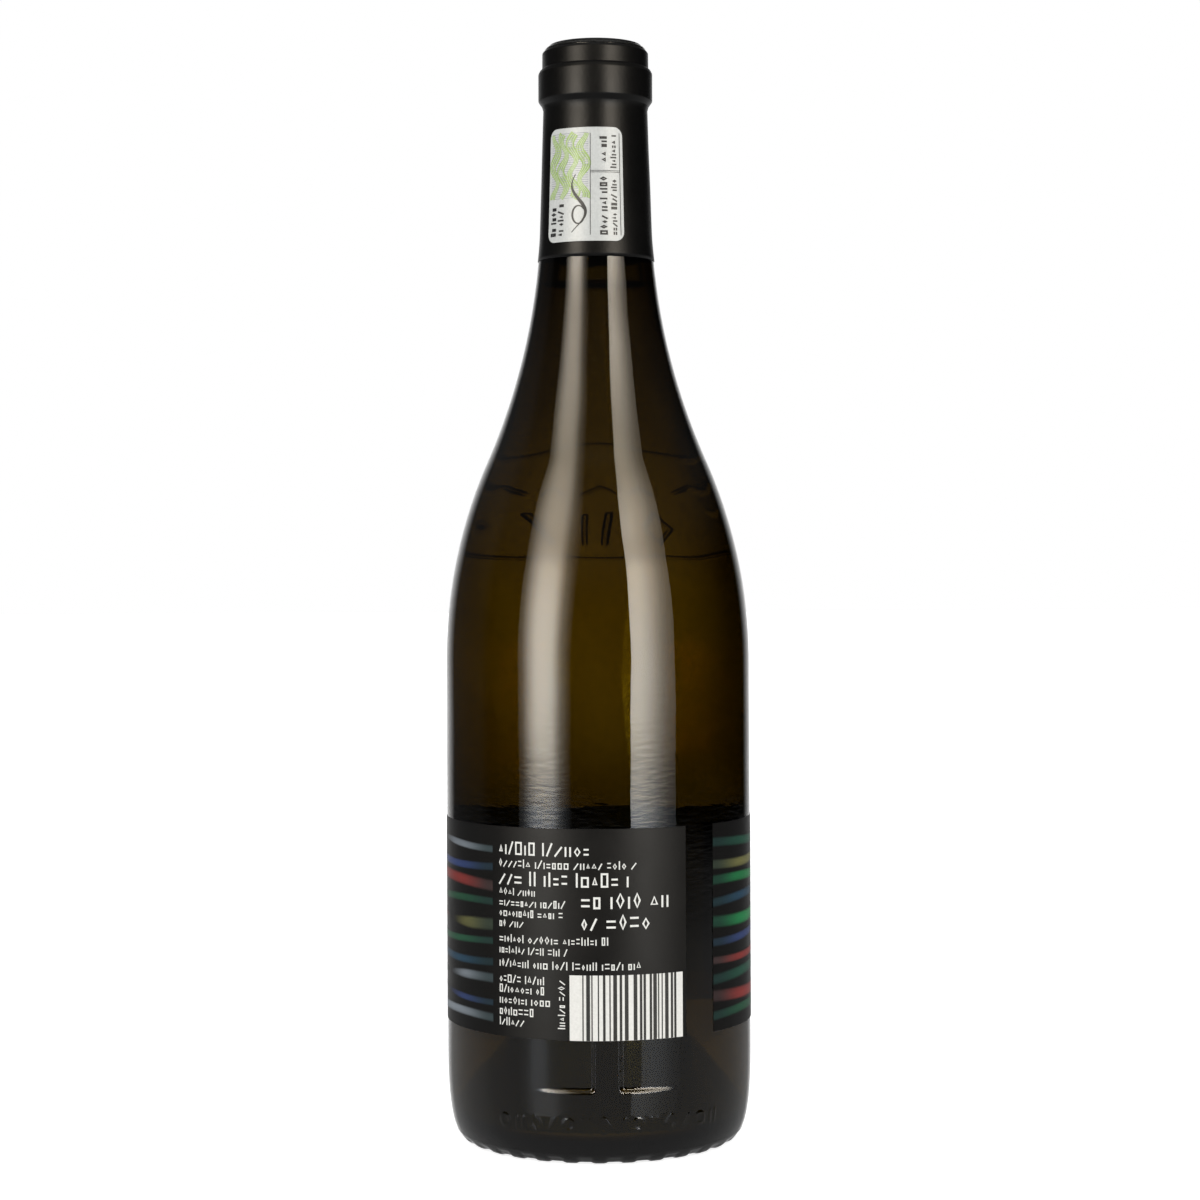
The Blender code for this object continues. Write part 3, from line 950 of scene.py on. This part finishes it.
def make_bands():
    """Bands in gently waving rows, soft at their edges and ends, cut straight at the rear panel."""
    draw = np.random.default_rng(52)
    bands = Print(on_label)
    first = LABEL_START * BODY_RADIUS
    up = np.array(BAND_PLACES)[:, None]
    soft = np.array(BAND_STRENGTHS)[:, None]
    turn = 0
    for row in range(BAND_COUNT):
        middle = BAND_FIRST + BAND_PITCH * row
        phase = draw.uniform(0, tau)
        left = first
        while left < REAR_EDGE:
            right = left + draw.uniform(*BAND_LENGTHS)
            if REAR_EDGE - right < BAND_SHORTEST:
                right = REAR_EDGE
            height = draw.uniform(*BAND_HEIGHTS)
            across = spaced(left, right, 0.001)[None, :]
            from_left = smooth(across - left, 0, BAND_FADE) if left > first else 1.0
            from_right = smooth(right - across, 0, BAND_FADE) if right < REAR_EDGE else 1.0
            end = from_left * from_right
            wave = middle + BAND_SWAY * np.sin(across / BAND_WAVE + phase)
            z = wave + up * height / 2 * (0.55 + 0.45 * end)
            vivid = 0.15 + 0.85 * smooth(np.minimum(across - first, REAR_EDGE - across), 0.001, 0.015)
            bright = np.array(BAND_COLOURS[turn % len(BAND_COLOURS)])
            colour = BAND_DULL + (bright - BAND_DULL) * vivid[..., None]
            share = (soft * end)[..., None]
            bands.patch(across, z, LABEL_BLACK + (colour - LABEL_BLACK) * share)
            left = right + BAND_GAP
            turn += 3
    piece = bands.made("label_bands", band_material(), "label_paper")
    tint = piece.data.color_attributes.new("tint", "FLOAT_COLOR", "POINT")
    colours = np.concatenate(bands.colours)
    tint.data.foreach_set("color", np.column_stack([colours, np.ones(len(colours))]).ravel())


# Sticker: its field of waves, its hatching, its rules and its columns of marks
STICKER_MARGIN = 0.0016
FIELD_LEFT, FIELD_RIGHT, FIELD_FOOT = 0.0010, 0.0124, 0.0100
HATCH_PITCH, HATCH_WIDTH = 0.0006, 0.00016
WAVES, WAVE_START, WAVE_PITCH = 4, 0.0013, 0.0029
WAVE_SWAY, WAVE_SWAY_LENGTH = 0.0010, 0.0085
WAVE_WIDTH, WAVE_SWELL, WAVE_SWELL_LENGTH = 0.0019, 0.0007, 0.0130
VEIN_PLACES, VEIN_WIDTH = (-0.32, 0.0, 0.32), 0.00013
RULE_WIDTH, DIVIDE_WIDTH, DIVIDE_HALF_GAP = 0.00014, 0.00012, 0.0002
DIVIDE_SHARE = 0.62
MARKS_WEIGHT = 1.5


def make_sticker_print():
    """Green wave bands over grey hatching, a dark flourish, thin rules and lines of plain marks."""
    draw = np.random.default_rng(77)
    left, right = STICKER_LEFT * STICKER_RADIUS, STICKER_RIGHT * STICKER_RADIUS
    low, high = STICKER_BOTTOM + STICKER_MARGIN, STICKER_TOP - STICKER_MARGIN
    field_left, field_right, field_low = left + FIELD_LEFT, left + FIELD_RIGHT, low + FIELD_FOOT

    hatch = Print(on_sticker)
    for z in spaced(field_low, high, HATCH_PITCH):
        hatch.block(field_left, field_right, z, z + HATCH_WIDTH)
    hatch.made("sticker_hatch", paper_material("hatch_grey"), "sticker_paper")

    waves = Print(on_sticker, 2 * INK)
    veins = Print(on_sticker, 3 * INK)
    heights = spaced(field_low, high, 0.0003)
    for i in range(WAVES):
        centre = field_left + WAVE_START + WAVE_PITCH * i
        sway = WAVE_SWAY * np.sin(tau * heights / WAVE_SWAY_LENGTH + 0.9 * i)
        width = WAVE_WIDTH + WAVE_SWELL * np.sin(tau * heights / WAVE_SWELL_LENGTH + 2.0 * i)
        waves.stroke(np.column_stack([centre + sway, heights]), width)
        for share in VEIN_PLACES:
            veins.stroke(np.column_stack([centre + sway + share * width, heights]), VEIN_WIDTH)
    waves.made("sticker_waves", paper_material("wave_green"), "sticker_paper")
    veins.made("sticker_veins", paper_material("vein_pale"), "sticker_paper")

    lines = Print(on_sticker, 4 * INK)
    along = np.linspace(0, 1, 60)
    sweep = field_left + 0.0086 + 0.0024 * np.sin(tau * (1.05 * along - 0.12)) * (1.0 - 0.35 * along)
    flourish = np.column_stack([sweep, low + 0.0008 + 0.0155 * along])
    lines.stroke(flourish, 0.00020 + 0.00070 * np.sin(pi * along) ** 2)
    turn = tau * np.linspace(0.1, 0.9, 40)
    centre = np.array([field_left + 0.0088, low + 0.0055])
    loop = np.column_stack([0.0017 * np.cos(turn), 0.0024 * np.sin(turn)]) + centre
    lines.stroke(loop, 0.00020 + 0.00030 * np.sin(turn / 2) ** 2)
    rules = field_right + 0.0005, right - 0.0010
    for rule in rules:
        lines.block(rule, rule + RULE_WIDTH, low, high)
    divide = low + DIVIDE_SHARE * (high - low)
    for z in (divide - DIVIDE_HALF_GAP, divide + DIVIDE_HALF_GAP):
        lines.block(*rules, z, z + DIVIDE_WIDTH)
    # Columns of marks: place of their feet, start and end of the column, height of the marks
    for foot, start, end, height in (
        (left + 0.0030, low, field_low - 0.0008, 0.0019),
        (left + 0.0055, low, field_low - 0.0008, 0.0019),
        (right - 0.0045, low, divide - 0.0006, 0.0020),
        (right - 0.0045, divide + 0.0026, high, 0.0020),
        (right - 0.0019, low, divide - 0.0016, 0.0016),
        (right - 0.0019, divide + 0.0010, high, 0.0017),
    ):
        lines.marks(draw, (foot, start), end - start, height, upwards=True, weight=MARKS_WEIGHT)
    lines.made("sticker_lines", paper_material("print_dark"), "sticker_paper")


# Studio

def make_floor():
    """A pale floor, bright enough to read as plain white. It doesn't shine back off the object."""
    material, shader = material_of(
        "floor_pale", Base_Color=(0.86, 0.86, 0.86, 1), Roughness=0.9, Specular_IOR_Level=0.1
    )
    feed(shader, "Emission Color", (1, 1, 1, 1))
    feed(shader, "Emission Strength", FLOOR_GLOW)
    corners = [(x * FLOOR_REACH, y * FLOOR_REACH, 0) for x, y in ((-1, -1), (1, -1), (1, 1), (-1, 1))]
    floor = add_object("studio_floor", corners, [(0, 1, 2, 3)], material)
    floor.visible_glossy = False
    floor.visible_transmission = False


def area_light(name, azimuth, width, low, high, radiance):
    """An upright area light at an angle from the camera's side that faces the bottle."""
    data = bpy.data.lights.new(name, "AREA")
    data.shape = "RECTANGLE"
    data.size = width
    data.size_y = high - low
    data.energy = radiance * pi * width * (high - low)
    light = bpy.data.objects.new(name, data)
    light.location = placed(azimuth, LIGHT_DISTANCE, (low + high) / 2)
    light.rotation_euler = (pi / 2, 0, azimuth)
    bpy.context.scene.collection.objects.link(light)
    return light


def box_height(z):
    """A height in the room as a share of a soft box's height."""
    return (z - BOX_LOW) / (BOX_HIGH - BOX_LOW)


def soft_box(name, outer, inner, across, up, middle, widening):
    """A soft box between two angles, seen only as a shine: a bright stripe that fades outwards.

    Its stops across are angles from its outer edge inwards, and those up it are heights. Towards its
    top the stripe grows wider by a share, about its middle angle.
    """
    left, right = radians(min(outer, inner)), radians(max(outer, inner))
    width = 2 * LIGHT_DISTANCE * tan((right - left) / 2)
    light = area_light(name, (left + right) / 2, width, BOX_LOW, BOX_HIGH, BOX_RADIANCE)
    light.visible_diffuse = False
    box = light.data
    box.use_nodes = True
    place = coordinates(box, "Parametric", "ShaderNodeNewGeometry")
    pivot = (middle - outer) / (inner - outer)
    from_middle = (-pivot, 1 - pivot) if outer < inner else (1 - pivot, -pivot)
    aside = ranged(place["X"], 0, 1, from_middle)
    narrow = eased(place["Y"], *WIDENING_SPAN, (1.0, 1 / (1 + widening)))
    stripe = combined("ADD", combined("MULTIPLY", aside, narrow), pivot)
    sideways = stepped_ramp(stripe, [((angle - outer) / (inner - outer), share) for angle, share in across])
    upwards = stepped_ramp(place["Y"], [(box_height(z), share) for z, share in up])
    tint = stepped_ramp(place["Y"], [(box_height(z), tone) for z, tone in TINT_UP])
    emission = box.node_tree.nodes["Emission"]
    feed(emission, "Strength", combined("MULTIPLY", sideways, upwards))
    feed(emission, "Color", tint)


def make_lights():
    soft_box("shine_left", -61, -14, LEFT_ACROSS, LEFT_UP, middle=-45, widening=0.34)
    soft_box("shine_right", 59, 15, RIGHT_ACROSS, RIGHT_UP, middle=32, widening=0.30)
    for side, azimuth in (("left", -45), ("right", 42)):
        fill = area_light("fill_" + side, radians(azimuth), 0.7, 0.1, 1.3, FILL_RADIANCE)
        fill.visible_glossy = False
        fill.visible_transmission = False


def make_card():
    """A pale card seen only through the glass. Its lower edge is soft and climbs on the left side."""
    material, shader = material_of("card_glow", Base_Color=(0, 0, 0, 1), Specular_IOR_Level=0.0)
    feed(shader, "Emission Color", (1, 1, 1, 1))
    x, _, z = coordinates(material, "Object")
    climb = ranged(x, -0.100, 0.0, (-0.070, 0.0))
    lower = eased(combined("ADD", z, climb), 0.070, 0.122, (0.25, 1.0))
    upper = eased(z, 0.35, CARD_TOP, (1.0, 0.0))
    left = eased(x, -CARD_REACH, -0.075, (0.0, 1.0))
    right = eased(x, CARD_REACH, 0.10, (0.0, 1.0))
    bright = combined("MULTIPLY", left, right, combined("MULTIPLY", lower, upper))
    glow = ranged(bright, 0.0, 1.0, (WORLD_THROUGH_GLASS, CARD_GLOW))
    feed(shader, "Emission Strength", glow)
    reach = CARD_REACH
    corners = [(-reach, 0, 0), (reach, 0, 0), (reach, 0, CARD_TOP), (-reach, 0, CARD_TOP)]
    card = add_object("card_behind", corners, [(0, 1, 2, 3)], material)
    card.location.y = CARD_DISTANCE
    for kind in ("camera", "diffuse", "glossy", "shadow"):
        setattr(card, "visible_" + kind, False)


def make_surroundings():
    """A white studio. What shines off the object shows a dark room with a pale table and back wall."""
    world = bpy.data.worlds.new("studio")
    bpy.context.scene.world = world
    world.use_nodes = True
    world.cycles.sampling_method = "NONE"
    x, y, z = coordinates(world, "Generated")
    leaning = ranged(x, -1.0, 1.0, (0.03, -0.05))
    wall = eased(combined("ADD", y, leaning), 0.75, 0.99, (0.0, WALL_SHINE))
    table = eased(z, -0.19, -0.09, (TABLE_SHINE, 0.0))
    ceiling = eased(z, 0.15, 0.50, (0.0, CEILING_SHINE))
    overhead = eased(z, 0.70, 1.0, (0.0, OVERHEAD_SHINE))
    behind = eased(y, -0.05, 0.20, (0.0, FLANK_SHINE))
    on_left = eased(x, -0.2, 0.2, (1.0, 0.0))
    room = combined("ADD", table, ceiling, combined("MULTIPLY", behind, on_left), overhead)
    shine = combined("MAXIMUM", wall, room)
    path = node(world, "ShaderNodeLightPath").outputs
    through = path["Is Transmission Ray"]
    mirrored = combined("SUBTRACT", path["Is Glossy Ray"], through, use_clamp=True)
    paper = ranged(path["Is Diffuse Ray"], 0.0, 1.0, (0.0, WORLD_ON_PAPER))
    below = eased(z, -0.16, -0.04, (TABLE_THROUGH_GLASS, WORLD_THROUGH_GLASS))
    glass = combined("MULTIPLY", through, below)
    glossy = combined("MULTIPLY", mirrored, shine)
    total = combined("ADD", path["Is Camera Ray"], paper, glass, glossy)
    background = world.node_tree.nodes["Background"]
    feed(background, "Color", (1, 1, 1, 1))
    feed(background, "Strength", total)


def make_camera():
    data = bpy.data.cameras.new("camera")
    camera = bpy.data.objects.new("camera", data)
    bpy.context.scene.collection.objects.link(camera)
    data.sensor_width = SENSOR
    data.lens = SENSOR * PIXELS_PER_METRE * CAMERA_DISTANCE / PICTURE
    data.shift_y = (HORIZON_ROW - PICTURE / 2) / PICTURE
    aside = (PICTURE / 2 - AXIS_COLUMN) / PIXELS_PER_METRE
    camera.location = (aside, -CAMERA_DISTANCE, CAMERA_HEIGHT)
    camera.rotation_euler = (pi / 2, CAMERA_ROLL, 0)
    bpy.context.scene.camera = camera


def main():
    for make in (
        make_glass, make_wine, make_capsule, make_label, make_sticker, make_rear_print, make_bands,
        make_sticker_print, make_floor, make_lights, make_card, make_surroundings, make_camera,
    ):
        make()
    bpy.context.scene.view_settings.view_transform = "Standard"


main()
